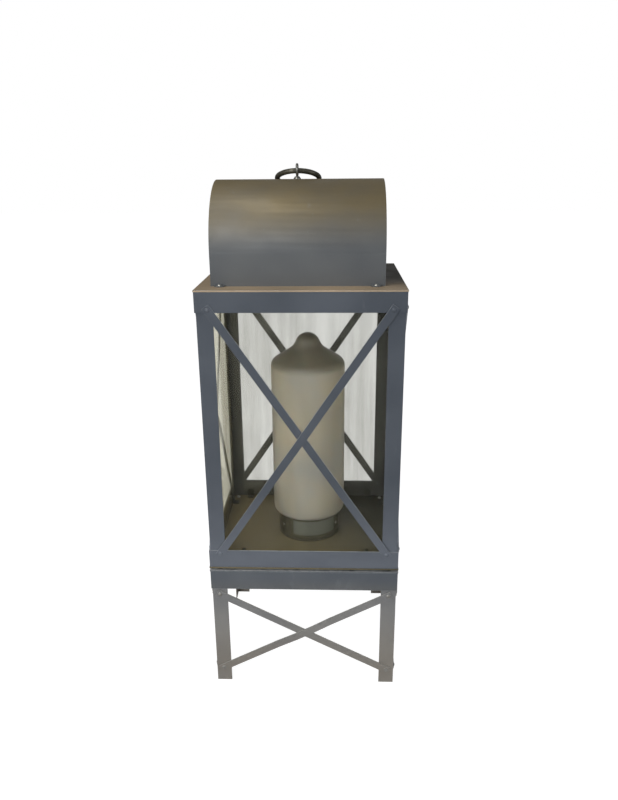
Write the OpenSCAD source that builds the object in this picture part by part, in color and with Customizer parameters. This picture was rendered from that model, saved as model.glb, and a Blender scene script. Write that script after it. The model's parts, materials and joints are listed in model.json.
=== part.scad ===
// Outdoor lantern lamp on its own stand. A glazed sheet metal lantern with a barrel roof, a ring
// handle and an opal candle lamp stands loose on a cross-braced stand. Millimetres, +Z up, the
// front faces -Y, and the origin is on the ground in the middle of the four feet.

/* [Lantern body] */
// Width over the top and floor plates
body_w = 250; // [240:1:320]
// Depth over the top and floor plates
body_d = 218; // [205:1:280]
// Height from the underside of the floor plate to the upper face of the top plate
body_h = 370; // [340:1:460]
// Thickness of the top and floor plates
plate_t = 2; // [1.5:0.5:3]
// How far the plates stand out past the bands
plate_lip = 0.6; // [0.4:0.2:1.6]
// Height of the band under the top plate and of the band on the floor plate
band_h = 24.5; // [20:0.5:36]
// Thickness of the sheet in the bands, the posts, the legs and the roof
sheet_t = 1.5; // [1:0.25:2]
// Width of each flange of the four corner posts
post_w = 20; // [18:1:26]

/* [Glazing] */
// Thickness of the glass panes
glass_t = 3; // [2:0.5:4]
// Width of a pane clip
clip_w = 10; // [6:1:16]
// Height of a pane clip's upright leg
clip_h = 12; // [8:1:18]
// Length of a pane clip's foot
clip_foot = 9; // [7:1:10]
// Thickness of a pane clip
clip_t = 1; // [0.8:0.1:1.5]
// Distance of a pane clip from the corner of its face
clip_corner = 32; // [28:1:50]

/* [Cross braces] */
// Width of the flat bars
bar_w = 10; // [8:1:12]
// Thickness of the flat bars
bar_t = 1.5; // [1:0.25:3]
// Length of a bar past its rivets
bar_tail = 4.5; // [4:0.5:7]
// Half length of the flat stretch where one bar passes over the other
crank_flat = 14; // [12:1:20]
// Length of the slope up to that flat stretch
crank_slope = 26; // [15:1:40]
// Diameter of the rivet shanks
rivet_d = 3; // [2.5:0.25:4]
// Diameter of the rivet heads
rivet_head_d = 6; // [5:0.25:7]
// Height of the rivet heads
rivet_head_h = 1.3; // [0.8:0.1:2]
// Distance of the body rivets from the inner edge of the post
rivet_to_post_edge = 6; // [5:0.5:10]
// Distance of the body rivets from the free edge of the band
rivet_to_band_edge = 3.5; // [3:0.5:8]

/* [Roof] */
// Length of the barrel roof, left to right
roof_len = 208; // [180:1:215]
// Outer radius of the barrel
roof_r = 81.5; // [70:0.5:88]
// Height of the straight walls under the barrel
roof_wall_h = 38; // [20:1:60]
// Place of the roof's middle, left or right of the body's middle
roof_x = -4; // [-6:1:6]
// How far the end plates lie inside the ends of the barrel
roof_end_inset = 1; // [0.5:0.5:4]
// Radius of the half round tabs that hold the roof down
tab_r = 7; // [6.5:0.5:8]
// Distance of the tabs from the ends of the roof
tab_from_end = 11; // [8:1:30]

// Length of the opening in the top plate under the roof
vent_len = 150; // [100:5:180]
// Depth of that opening
vent_d = 110; // [60:5:140]

/* [Handle] */
// Place of the eye, left or right of the roof's middle
eye_x = -3; // [-5:1:5]
// Radius of the wire that the eye is bent from
eye_wire_r = 1.6; // [1.4:0.1:2]
// Radius of the eye, to the middle of its wire
eye_r = 6.2; // [6:0.1:8]
// Length of the eye's shank inside the roof
eye_shank = 10; // [8:1:16]
// Height of the collar under the eye
collar_h = 3; // [2:0.5:5]
// Radius of the collar on the roof
collar_r = 4.5; // [4:0.5:7]
// Radius of the ring's rod
ring_rod_r = 3.2; // [2.8:0.1:3.6]
// Radius of the ring, to the middle of its rod
ring_r = 26.7; // [24:0.1:30]

/* [Lamp] */
// Place of the lamp, left or right of the body's middle
lamp_x = 4; // [-6:1:6]
// Width of the plate that carries the lamp
hatch_w = 180; // [160:1:184]
// Depth of the plate that carries the lamp
hatch_d = 142; // [134:1:150]
// Thickness of the plate that carries the lamp
hatch_t = 1.5; // [1:0.25:2.5]
// How far that plate laps over the edge of the floor's opening
hatch_lap = 12; // [9:1:15]
// Radius of the lamp's metal base
base_r = 42.5; // [40:0.5:46]
// Height of the lamp's metal base
base_h = 34; // [30:1:50]
// Wall of the lamp's metal base
base_wall = 1.5; // [1:0.25:2.5]
// How far the foot rim of the base stands out
base_rim = 0.8; // [0.4:0.1:1.5]
// Height of the foot rim of the base
base_rim_h = 2; // [1:0.5:4]
// Radius of the opal shade
shade_r = 50; // [48:0.5:56]
// Height of the opal shade above the metal base
shade_h = 257; // [200:1:285]
// Wall of the opal shade
shade_wall = 3; // [2:0.25:4]
// Gap between the shade's neck and the metal base
neck_gap = 2; // [1:0.25:3]
// Length of the shade's neck inside the metal base
neck_len = 24; // [20:1:26]
// Radius of the shade's lower edge
shade_edge_r = 6; // [4.5:0.5:7]
// Radius of the round tip of the shade
tip_r = 17; // [13:0.5:20]
// Steepest slope under the tip, in degrees
tip_steep = 70; // [60:1:75]
// Radius of the hollow between tip and shoulder
saddle_r = 22; // [14:1:28]
// Slope of the shoulder, in degrees
shoulder_slope = 33; // [26:1:40]
// Radius of the shoulder's edge
shoulder_r = 12; // [8:0.5:16]
// Height of the grub screws above the foot of the base
grub_h = 17.5; // [15:0.5:24]
// Diameter of the grub screws
grub_d = 4; // [3:0.5:5]
// Radius of the hollow fixing tube
tube_r = 5; // [4.5:0.25:6]
// Wall of the hollow fixing tube
tube_wall = 1; // [0.75:0.25:1.5]
// Radius of the lampholder
holder_r = 14; // [12.5:0.5:18]
// Height of the lampholder
holder_h = 55; // [50:1:70]
// Height of the bulb above its cap
bulb_h = 68; // [64:1:90]
// Radius of the bulb
bulb_r = 17.5; // [16:0.5:24]

/* [Stand] */
// Height of the stand
stand_h = 179; // [120:1:260]
// Height of the ring's outer face, flange included
ring_h = 29; // [20:1:45]
// Width of the ring's top flange, from the outer edge
flange_w = 22; // [20:1:26]
// Height of the lower rivets above the ground
stand_rivet_low = 22; // [15:1:30]
// Distance of the upper rivets below the ring
stand_rivet_drop = 9; // [9:1:20]
// Radius of the rubber glides between stand and lantern
glide_r = 9; // [7:0.5:10]
// Height of the rubber glides
glide_h = 3; // [2.5:0.5:6]

/* [Hidden] */
$fn = 96;

// Clearances: a shank in its hole, a piece against its seat, the swinging ring on the roof
shank_gap = 0.15;
seat_gap = 0.2;
swing_gap = 0.3;

// The four faces are numbered 0 front, 1 right, 2 rear, 3 left.
// Distance of a face from the middle of the body, and half the width of that face
function face_out(k) = (k % 2 == 0 ? body_d : body_w) / 2;
function face_half(k) = (k % 2 == 0 ? body_w : body_d) / 2;

// The bands lie inside the plates' edge, and the posts and legs lie inside the bands
band_in = plate_lip;
post_in = band_in + sheet_t;
glass_in = post_in + sheet_t + seat_gap;
pane_back = glass_in + glass_t;

// Levels
body_z = stand_h + glide_h;
floor_z = body_z + plate_t;
hatch_z = floor_z + hatch_t;
roof_z = body_z + body_h;
ceiling_z = roof_z - plate_t;
body_rivet_low = floor_z + band_h - rivet_to_band_edge;
body_rivet_high = ceiling_z - band_h + rivet_to_band_edge;
vault_z = roof_z + roof_wall_h;
roof_top = vault_z + roof_r;
stand_rivet_high = stand_h - ring_h - stand_rivet_drop;

// Eye and ring. The ring lies back until its rod meets the barrel on both sides of the eye.
handle_x = roof_x + eye_x;
eye_z = roof_top + collar_h + eye_r + eye_wire_r;
pivot_z = eye_z - eye_r + eye_wire_r + ring_rod_r + swing_gap;
ring_slope = 90 - asin((roof_r + ring_rod_r + swing_gap) / (pivot_z - vault_z));
washer_r = 7;
washer_t = 1.2;
nut_h = 3;
nut_r = 4;
washer_z = vault_z + sqrt(pow(roof_r - sheet_t, 2) - pow(washer_r, 2)) - washer_t;

// Glides and screws
glide_in = post_in + sheet_t + glide_r;
screw_head_r = 3;
screw_head_h = 1.8;
screw_d = 3.5;
hatch_screw_in = 6;
tab_screw_out = screw_head_r + 2 * seat_gap;

// Lamp. Heights above the lamp plate are added to hatch_z.
neck_r = base_r - base_wall - neck_gap;
base_floor_t = 2;
shade_z = hatch_z + base_h + seat_gap;
grub_angles = [215, 335, 95];
tube_nut_h = 2.5;
tube_low = floor_z - tube_nut_h;
tube_top = hatch_z + base_floor_t + 10;
bush_flange_h = 0.8;
bush_wall = 0.8;
bush_len = 6;
holder_z = hatch_z + base_floor_t;
holder_top = holder_z + holder_h;
cap_r = 7;
cap_len = 26;
cap_z = holder_top - cap_len;
bulb_z = holder_top + seat_gap;
bulb_wall = 1;
label_t = 0.4;
glue_t = 0.1;
label_low = 9;
label_high = 30;
label_from = 241;
label_to = 326;

// End of an arc that starts at point p and turns from slope a0 to slope a1 with radius r.
// Slopes are degrees below level, going outwards, and a negative radius bends hollow.
function arc_end(p, a0, a1, r) = p + r * [sin(a1) - sin(a0), cos(a1) - cos(a0)];
function arc_points(p, a0, a1, r, n) = [for (i = [1:n]) arc_end(p, a0, a0 + (a1 - a0) * i / n, r)];

// Outline of the shade from its tip down to the neck, moved inwards by w
function shade_outline(w) =
    let (tip = [0, shade_h - w])
    let (flank = arc_end(tip, 0, tip_steep, tip_r - w))
    let (saddle = arc_end(flank, tip_steep, shoulder_slope, -(saddle_r + w)))
    let (edge_x = shade_r - w - (shoulder_r - w) * (1 - sin(shoulder_slope)))
    let (edge = [edge_x, saddle[1] - (edge_x - saddle[0]) * tan(shoulder_slope)])
    concat(
        [tip],
        arc_points(tip, 0, tip_steep, tip_r - w, 8),
        arc_points(flank, tip_steep, shoulder_slope, -(saddle_r + w), 6),
        [edge],
        arc_points(edge, shoulder_slope, 90, shoulder_r - w, 6),
        [[shade_r - w, shade_edge_r]],
        arc_points([shade_r - w, shade_edge_r], 90, 180, shade_edge_r - w, 5),
        [[neck_r - w, w], [neck_r - w, -neck_len]]
    );

// Outline of the bulb from its tip down to its neck, moved inwards by w
bulb_tip_r = 5;
bulb_tip_a = 55;
bulb_side_r = (bulb_r - bulb_tip_r * sin(bulb_tip_a)) / (1 - sin(bulb_tip_a));
bulb_foot_r = 20;
bulb_foot_a = 140;
bulb_neck_r = 6;
function bulb_outline(w) =
    let (tip = [0, bulb_h - w])
    let (side = arc_end(tip, 0, bulb_tip_a, bulb_tip_r - w))
    let (belly = arc_end(side, bulb_tip_a, 90, bulb_side_r - w))
    let (foot = arc_end(belly, 90, bulb_foot_a, bulb_foot_r - w))
    let (neck = arc_end(foot, bulb_foot_a, 90, -(bulb_neck_r + w)))
    concat(
        [tip],
        arc_points(tip, 0, bulb_tip_a, bulb_tip_r - w, 4),
        arc_points(side, bulb_tip_a, 90, bulb_side_r - w, 6),
        arc_points(belly, 90, bulb_foot_a, bulb_foot_r - w, 5),
        arc_points(foot, bulb_foot_a, 90, -(bulb_neck_r + w), 3),
        [[neck[0], 0]]
    );

function reversed(points) = [for (i = [len(points) - 1:-1:0]) points[i]];

// General shapes
module slab(w, d, h) {
    linear_extrude(h) square([w, d], center = true);
}

module box_ring(w, d, h, wall) {
    linear_extrude(h) difference() {
        square([w, d], center = true);
        square([w - 2 * wall, d - 2 * wall], center = true);
    }
}

module at_corners(in_x, in_y) {
    for (sx = [-1, 1], sy = [-1, 1]) translate([sx * in_x, sy * in_y, 0]) children();
}

// Angle section with its outer corner at x, y and its open side towards the middle
module angle_post(sx, sy, z, h) {
    x = body_w / 2 - post_in - post_w / 2;
    y = body_d / 2 - post_in - post_w / 2;
    translate([sx * x, sy * y, z]) linear_extrude(h) difference() {
        square(post_w, center = true);
        translate([-sx * sheet_t, -sy * sheet_t]) square(post_w, center = true);
    }
}

// A domed head, flat side down
module dome(d, h) {
    ball_r = (pow(d / 2, 2) + pow(h, 2)) / (2 * h);
    intersection() {
        translate([0, 0, h - ball_r]) sphere(ball_r);
        cylinder(d = d + 1, h = h + 1);
    }
}

// A pan head screw with its seat at z 0 and its shank downwards
module pan_screw(shank) {
    dome(2 * screw_head_r, screw_head_h);
    translate([0, 0, -shank]) cylinder(d = screw_d, h = shank);
}

module screw_hole(depth) {
    translate([0, 0, -depth]) cylinder(d = screw_d + 2 * shank_gap, h = 2 * depth);
}

// Rivets. Each face has four, at the ends of its two braces.
function post_rivet_u(k) = face_half(k) - post_in - post_w + rivet_to_post_edge;
function leg_rivet_u(k) = face_half(k) - post_in - post_w / 2;

module body_rivet_places() {
    for (k = [0:3], s = [-1, 1], z = [body_rivet_low, body_rivet_high])
        rotate([0, 0, 90 * k])
            translate([s * post_rivet_u(k), band_in - face_out(k), z])
                rotate([90, 0, 0]) children();
}

module stand_rivet_places() {
    for (k = [0:3], s = [-1, 1], z = [stand_rivet_low, stand_rivet_high])
        rotate([0, 0, 90 * k])
            translate([s * leg_rivet_u(k), post_in - face_out(k), z])
                rotate([90, 0, 0]) children();
}

module rivet(grip) {
    translate([0, 0, bar_t]) dome(rivet_head_d, rivet_head_h);
    translate([0, 0, -grip]) cylinder(d = rivet_d, h = grip + bar_t);
}

module rivet_hole() {
    translate([0, 0, -3 * sheet_t]) cylinder(d = rivet_d + 2 * shank_gap, h = 6 * sheet_t);
}

// Flat bar between two rivets. The upper bar of a pair is cranked out over the lower one.
module flat_bar(half_len, over) {
    end = half_len + bar_tail;
    rise = crank_flat + crank_slope;
    straight = [[-end, 0], [-end, -bar_t], [end, -bar_t], [end, 0]];
    cranked = [
        [-end, 0], [-end, -bar_t], [-rise, -bar_t], [-crank_flat, -2 * bar_t],
        [crank_flat, -2 * bar_t], [rise, -bar_t], [end, -bar_t], [end, 0],
        [rise, 0], [crank_flat, -bar_t], [-crank_flat, -bar_t], [-rise, 0]
    ];
    difference() {
        translate([0, 0, -bar_w / 2]) linear_extrude(bar_w) polygon(over ? cranked : straight);
        for (s = [-1, 1])
            translate([s * half_len, bar_t, 0]) rotate([90, 0, 0])
                cylinder(d = rivet_d + 2 * shank_gap, h = 3 * bar_t);
    }
}

module brace(k, over, u, z_low, z_high, seat) {
    tilt = atan2((z_high - z_low) / 2, u) * (over ? 1 : -1);
    rotate([0, 0, 90 * k])
        translate([0, seat - face_out(k), (z_low + z_high) / 2])
            rotate([0, -tilt, 0])
                flat_bar(norm([u, (z_high - z_low) / 2]), over);
}

// Stand
module stand_ring() {
    color("dimgray") {
        translate([0, 0, stand_h - ring_h])
            box_ring(body_w - 2 * band_in, body_d - 2 * band_in, ring_h - plate_t, sheet_t);
        translate([0, 0, stand_h - plate_t]) box_ring(body_w, body_d, plate_t, flange_w);
    }
}

module leg(sx, sy) {
    color("gray") difference() {
        angle_post(sx, sy, 0, stand_h - plate_t);
        stand_rivet_places() rivet_hole();
    }
}

module stand_brace(k, over) {
    color("darkgray") brace(k, over, leg_rivet_u(k), stand_rivet_low, stand_rivet_high, post_in);
}

module stand_rivets() {
    color("silver") stand_rivet_places() rivet(sheet_t);
}

// Lantern body
module glide_places() {
    at_corners(body_w / 2 - glide_in, body_d / 2 - glide_in) children();
}

module glides() {
    color("black") glide_places() difference() {
        translate([0, 0, stand_h]) cylinder(r = glide_r, h = glide_h);
        translate([0, 0, floor_z]) screw_hole(plate_t + glide_h + 1);
    }
}

module glide_screws() {
    color("silver") glide_places() translate([0, 0, floor_z]) pan_screw(plate_t + glide_h - 1);
}

module hatch_screw_places() {
    at_corners(hatch_w / 2 - hatch_screw_in, hatch_d / 2 - hatch_screw_in)
        translate([0, 0, hatch_z]) children();
}

module floor_plate() {
    color("darkolivegreen") difference() {
        translate([0, 0, body_z]) slab(body_w, body_d, plate_t);
        translate([0, 0, body_z - 1])
            slab(hatch_w - 2 * hatch_lap, hatch_d - 2 * hatch_lap, plate_t + 2);
        hatch_screw_places() screw_hole(plate_t + hatch_t + 1);
        glide_places() translate([0, 0, floor_z]) screw_hole(plate_t + 1);
    }
}

module lamp_plate() {
    color("olive") difference() {
        translate([0, 0, floor_z]) slab(hatch_w, hatch_d, hatch_t);
        hatch_screw_places() screw_hole(hatch_t + 1);
        translate([lamp_x, 0, floor_z - 1]) cylinder(r = tube_r + shank_gap, h = hatch_t + 2);
    }
}

module lamp_plate_screws() {
    color("silver") hatch_screw_places() pan_screw(hatch_t + plate_t + 1);
}

module band(z) {
    color("slategray") difference() {
        translate([0, 0, z]) box_ring(body_w - 2 * band_in, body_d - 2 * band_in, band_h, sheet_t);
        body_rivet_places() rivet_hole();
    }
}

module bottom_band() {
    band(floor_z);
}

module top_band() {
    band(ceiling_z - band_h);
}

module tab_places() {
    for (sx = [-1, 1], sy = [-1, 1])
        translate([roof_x + sx * (roof_len / 2 - tab_from_end), sy * roof_r, roof_z]) children();
}

module tab_screw_places() {
    for (sx = [-1, 1], sy = [-1, 1])
        translate([roof_x + sx * (roof_len / 2 - tab_from_end), sy * (roof_r + tab_screw_out), roof_z + sheet_t])
            children();
}

module top_plate() {
    color("rosybrown") difference() {
        translate([0, 0, ceiling_z]) slab(body_w, body_d, plate_t);
        translate([roof_x, 0, ceiling_z - 1]) slab(vent_len, vent_d, plate_t + 2);
        tab_screw_places() screw_hole(plate_t + sheet_t + 1);
    }
}

module post(sx, sy) {
    color("slategray") difference() {
        angle_post(sx, sy, floor_z, ceiling_z - floor_z);
        body_rivet_places() rivet_hole();
    }
}

// The front and rear panes run from post to post, and the side panes stand between them
module pane(k) {
    half_w = k % 2 == 0 ? face_half(k) - glass_in - seat_gap : face_half(k) - pane_back - seat_gap;
    color("lightcyan", 0.4)
        rotate([0, 0, 90 * k])
            translate([-half_w, glass_in - face_out(k), floor_z + seat_gap])
                cube([2 * half_w, glass_t, ceiling_z - floor_z - 3 * seat_gap]);
}

// L clips behind the panes, with the foot inwards
module pane_clips() {
    for (k = [0:3], s = [-1, 1])
        rotate([0, 0, 90 * k])
            translate([s * (face_half(k) - clip_corner), pane_back + seat_gap - face_out(k), 0])
                rotate([90, 0, 90]) translate([0, 0, -clip_w / 2]) linear_extrude(clip_w)
                    polygon([
                        [0, 0], [clip_foot, 0], [clip_foot, clip_t],
                        [clip_t, clip_t], [clip_t, clip_h], [0, clip_h]
                    ]);
}

module lower_pane_clips() {
    color("silver") translate([0, 0, floor_z]) pane_clips();
}

module upper_pane_clips() {
    color("silver") translate([0, 0, ceiling_z]) mirror([0, 0, 1]) pane_clips();
}

module body_brace(k, over) {
    color("lightslategray")
        brace(k, over, post_rivet_u(k), body_rivet_low, body_rivet_high, band_in);
}

module body_rivets() {
    color("silver") body_rivet_places() rivet(2 * sheet_t);
}

// Roof
module roof_outline(w) {
    translate([w - roof_r, 0]) square([2 * (roof_r - w), roof_wall_h]);
    translate([0, roof_wall_h]) intersection() {
        circle(roof_r - w);
        translate([-roof_r, 0]) square([2 * roof_r, roof_r]);
    }
}

// Stands an outline on the top plate and gives it a length from x
module along_roof(x, length) {
    translate([x, 0, roof_z]) rotate([90, 0, 90]) linear_extrude(length) children();
}

module roof_shell() {
    color("dimgray") difference() {
        union() {
            along_roof(roof_x - roof_len / 2, roof_len) roof_outline(0);
            tab_places() cylinder(r = tab_r, h = sheet_t);
        }
        along_roof(roof_x - roof_len / 2 - 1, roof_len + 2) roof_outline(sheet_t);
        tab_screw_places() screw_hole(sheet_t + 1);
        translate([handle_x, 0, vault_z]) cylinder(r = eye_wire_r + shank_gap, h = roof_r + 1);
    }
}

module roof_end(s) {
    x = roof_x + s * (roof_len / 2 - roof_end_inset - sheet_t / 2);
    color("gray") along_roof(x - sheet_t / 2, sheet_t) roof_outline(sheet_t);
}

module roof_screws() {
    color("silver") tab_screw_places() pan_screw(sheet_t + plate_t);
}

// Handle
module torus(r, rod) {
    rotate_extrude() translate([r, 0]) circle(rod);
}

module eye_bolt() {
    low = washer_z - nut_h - eye_shank / 2;
    color("silver") translate([handle_x, 0, 0]) {
        translate([0, 0, eye_z]) rotate([0, 90, 0]) torus(eye_r, eye_wire_r);
        translate([0, 0, low]) cylinder(r = eye_wire_r, h = eye_z - eye_r - low);
    }
}

module eye_collar() {
    hole = eye_wire_r + shank_gap;
    color("silver") translate([handle_x, 0, roof_top]) rotate_extrude()
        polygon([[hole, 0], [collar_r, 0], [collar_r, collar_h / 4], [hole + 1, collar_h], [hole, collar_h]]);
}

module eye_washer() {
    color("silver") translate([handle_x, 0, washer_z]) difference() {
        cylinder(r = washer_r, h = washer_t);
        translate([0, 0, -1]) cylinder(r = eye_wire_r + shank_gap, h = washer_t + 2);
    }
}

module eye_nut() {
    color("silver") translate([handle_x, 0, washer_z - nut_h]) difference() {
        cylinder(r = nut_r, h = nut_h, $fn = 6);
        translate([0, 0, -1]) cylinder(r = eye_wire_r + shank_gap, h = nut_h + 2);
    }
}

module handle_ring() {
    color("darkslategray") translate([handle_x, 0, pivot_z]) rotate([-ring_slope, 0, 0])
        translate([0, ring_r, 0]) torus(ring_r, ring_rod_r);
}

// Lamp
module at_lamp(z) {
    translate([lamp_x, 0, z]) children();
}

module grub_places() {
    for (a = grub_angles)
        at_lamp(hatch_z + grub_h) rotate([0, 90, a]) children();
}

module lamp_base() {
    color("silver") difference() {
        at_lamp(hatch_z) rotate_extrude() polygon([
            [tube_r + shank_gap, 0], [base_r + base_rim, 0], [base_r + base_rim, base_rim_h],
            [base_r, base_rim_h], [base_r, base_h], [base_r - base_wall, base_h],
            [base_r - base_wall, base_floor_t], [tube_r + shank_gap, base_floor_t]
        ]);
        grub_places() translate([0, 0, base_r - 2 * base_wall])
            cylinder(d = grub_d + 2 * shank_gap, h = 4 * base_wall);
    }
}

module grub_screws() {
    tip = neck_r + seat_gap;
    color("gainsboro") grub_places() difference() {
        translate([0, 0, tip]) cylinder(d = grub_d, h = base_r + 0.4 - tip);
        translate([0, 0, base_r - 1]) cylinder(d = grub_d / 2, h = 3, $fn = 6);
    }
}

module label_plate() {
    color("lightgray") at_lamp(hatch_z) rotate([0, 0, label_from])
        rotate_extrude(angle = label_to - label_from)
            translate([base_r + glue_t, label_low]) square([label_t, label_high - label_low]);
}

module opal_shade() {
    color("oldlace") at_lamp(shade_z) rotate_extrude()
        polygon(concat(shade_outline(0), reversed(shade_outline(shade_wall))));
}

module fixing_tube() {
    color("gold") at_lamp(tube_low) difference() {
        cylinder(r = tube_r, h = tube_top - tube_low);
        translate([0, 0, -1]) cylinder(r = tube_r - tube_wall, h = tube_top - tube_low + 2);
    }
}

module tube_nut() {
    color("gold") at_lamp(tube_low) difference() {
        cylinder(r = tube_r + 3, h = tube_nut_h, $fn = 6);
        translate([0, 0, -1]) cylinder(r = tube_r + shank_gap, h = tube_nut_h + 2);
    }
}

// Plastic bush in the lower end of the tube, where a cord would enter
module inlet_bush() {
    outer = tube_r - tube_wall - shank_gap;
    color("black") at_lamp(tube_low - bush_flange_h) rotate_extrude() polygon([
        [outer - bush_wall, 0], [tube_r, 0], [tube_r, bush_flange_h], [outer, bush_flange_h],
        [outer, bush_len], [outer - bush_wall, bush_len]
    ]);
}

module lampholder() {
    socket = cap_r + 2 * shank_gap;
    waist = holder_r - 1.5;
    color("black") at_lamp(holder_z) rotate_extrude() polygon([
        [tube_r + shank_gap, 0], [holder_r, 0], [holder_r, holder_h * 0.36],
        [waist, holder_h * 0.36], [waist, holder_h - 4], [waist + 0.8, holder_h - 4],
        [waist + 0.8, holder_h], [socket, holder_h], [socket, holder_h - cap_len - 1],
        [0, holder_h - cap_len - 1], [0, tube_top - holder_z + 1],
        [tube_r + shank_gap, tube_top - holder_z + 1]
    ]);
}

module bulb_cap() {
    color("gainsboro") at_lamp(cap_z) {
        cylinder(r = cap_r, h = cap_len);
        translate([0, 0, -0.8]) cylinder(r = cap_r / 2, h = 0.8);
    }
}

module bulb_envelope() {
    color("white") at_lamp(bulb_z) rotate_extrude()
        polygon(concat(bulb_outline(0), reversed(bulb_outline(bulb_wall))));
}

stand_ring();
leg(-1, -1);  // leg_front_left
leg(1, -1);  // leg_front_right
leg(-1, 1);  // leg_rear_left
leg(1, 1);  // leg_rear_right
stand_brace(0, false);  // stand_brace_front_under
stand_brace(0, true);  // stand_brace_front_over
stand_brace(1, false);  // stand_brace_right_under
stand_brace(1, true);  // stand_brace_right_over
stand_brace(2, false);  // stand_brace_rear_under
stand_brace(2, true);  // stand_brace_rear_over
stand_brace(3, false);  // stand_brace_left_under
stand_brace(3, true);  // stand_brace_left_over
stand_rivets();
glides();
glide_screws();
floor_plate();
lamp_plate();
lamp_plate_screws();
bottom_band();
top_band();
top_plate();
post(-1, -1);  // post_front_left
post(1, -1);  // post_front_right
post(-1, 1);  // post_rear_left
post(1, 1);  // post_rear_right
pane(0);  // pane_front
pane(1);  // pane_right
pane(2);  // pane_rear
pane(3);  // pane_left
lower_pane_clips();
upper_pane_clips();
body_brace(0, false);  // brace_front_under
body_brace(0, true);  // brace_front_over
body_brace(1, false);  // brace_right_under
body_brace(1, true);  // brace_right_over
body_brace(2, false);  // brace_rear_under
body_brace(2, true);  // brace_rear_over
body_brace(3, false);  // brace_left_under
body_brace(3, true);  // brace_left_over
body_rivets();
roof_shell();
roof_end(-1);  // roof_end_left
roof_end(1);  // roof_end_right
roof_screws();
eye_bolt();
eye_collar();
eye_washer();
eye_nut();
handle_ring();
lamp_base();
grub_screws();
label_plate();
opal_shade();
fixing_tube();
tube_nut();
inlet_bush();
lampholder();
bulb_cap();
bulb_envelope();
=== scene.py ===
"""Looks of an outdoor table lamp.

A glazed sheet metal lantern with a barrel roof, a ring handle and an opal candle lamp stands loose on a
cross-braced stand. The construction comes packed, in metres, with the front towards -Y, and this script
gives every piece its finish, rounds the sheet edges and gives them rubbed paint with a painted highlight,
and sets the floor, the light and the camera.
"""

import fnmatch
import json
import logging
import math
from dataclasses import dataclass, replace
from enum import Enum

import bmesh
import bpy
from mathutils import Matrix, Vector

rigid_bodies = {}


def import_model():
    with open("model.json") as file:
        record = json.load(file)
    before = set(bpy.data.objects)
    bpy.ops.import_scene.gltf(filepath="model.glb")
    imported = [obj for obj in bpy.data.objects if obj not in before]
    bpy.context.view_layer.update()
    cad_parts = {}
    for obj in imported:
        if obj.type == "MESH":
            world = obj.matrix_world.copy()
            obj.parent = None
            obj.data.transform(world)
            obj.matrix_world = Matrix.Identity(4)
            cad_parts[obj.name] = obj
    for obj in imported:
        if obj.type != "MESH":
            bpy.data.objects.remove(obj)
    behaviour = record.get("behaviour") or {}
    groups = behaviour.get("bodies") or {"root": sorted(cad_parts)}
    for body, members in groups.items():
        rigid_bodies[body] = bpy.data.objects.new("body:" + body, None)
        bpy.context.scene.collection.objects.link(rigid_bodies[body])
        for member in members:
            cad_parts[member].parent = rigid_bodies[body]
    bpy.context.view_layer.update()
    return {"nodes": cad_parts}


LOG = logging.getLogger("lantern")
MILLIMETRE = 0.001

Colour = tuple[float, float, float]
Direction = tuple[float, float, float]
Stretch = tuple[float, float, float]

WHITE: Colour = (1.0, 1.0, 1.0)
UP: Direction = (0.0, 0.0, 1.0)
LEVEL: Direction = (1.0, 1.0, 0.0)
EVEN: Stretch = (1.0, 1.0, 1.0)

# Sizes in millimetres and angles in degrees. The edge slot is the material's place in a sheet's list.
WELD_REACH = 0.01
FLAT_ANGLE = 0.4
EDGE_ANGLE = 40
EDGE_ROUND = 0.35
EDGE_STEPS = 2
EDGE_SLOT = 1
PANE_SLIP = 0.1


def clear_scene() -> None:
    """Removes what a new file holds, before the frame comes in."""
    for item in list(bpy.data.objects):
        bpy.data.objects.remove(item)


clear_scene()
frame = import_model()


def highest(node: str) -> float:
    """Returns the height of a node's top, in metres."""
    return max(vertex.co.z for vertex in frame["nodes"][node].data.vertices)


def lowest(node: str) -> float:
    """Returns the height of a node's foot, in metres."""
    return min(vertex.co.z for vertex in frame["nodes"][node].data.vertices)


def nodes_like(pattern: str) -> list[str]:
    """Returns the names of the construction's nodes that match a pattern with stars."""
    return fnmatch.filter(frame["nodes"], pattern)


LANTERN_FOOT = lowest("floor_plate")
PLATE_TOP = highest("top_plate")
ROOF_TOP = highest("roof_shell")
SHADE_TOP = highest("opal_shade")
STAND_TOP = highest("stand_ring")

# Distance of a face from the middle along its own normal, in metres. It is negative where the face looks
# back to the middle. Such a face starts to count as a wall's inside, with painted shade, at the first, fully
# at the second.
INNER_WALL = (-0.098, -0.104)
# Share of a normal along an axis, where a face starts to count as facing that way, and where it does fully.
RIM_LEAN = (0.5, 0.8)

# The curve between screen and light is straight up to the knee and a power above it.
SCREEN_STEPS = 255
SCREEN_KNEE = 0.04045
SCREEN_SLOPE = 12.92
SCREEN_LIFT = 0.055
SCREEN_POWER = 2.4


def linear(red: int, green: int, blue: int) -> Colour:
    """Turns a colour as seen on a screen into linear light.

    Args:
        red: Red from 0 to 255.
        green: Green from 0 to 255.
        blue: Blue from 0 to 255.

    Returns:
        The three linear values from 0 to 1.
    """

    def one(value: int) -> float:
        share = value / SCREEN_STEPS
        if share <= SCREEN_KNEE:
            return share / SCREEN_SLOPE
        return ((share + SCREEN_LIFT) / (1 + SCREEN_LIFT)) ** SCREEN_POWER

    return one(red), one(green), one(blue)


class Across(Enum):
    """Axis across a flat bar: X on the body's sides, Y in front and behind."""

    X = (1.0, 0.0, 0.0)
    Y = (0.0, 1.0, 0.0)

    @classmethod
    def of(cls, node: str) -> "Across":
        """Returns the axis across the bar of a node, which names its side."""
        return cls.X if "left" in node or "right" in node else cls.Y


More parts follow.
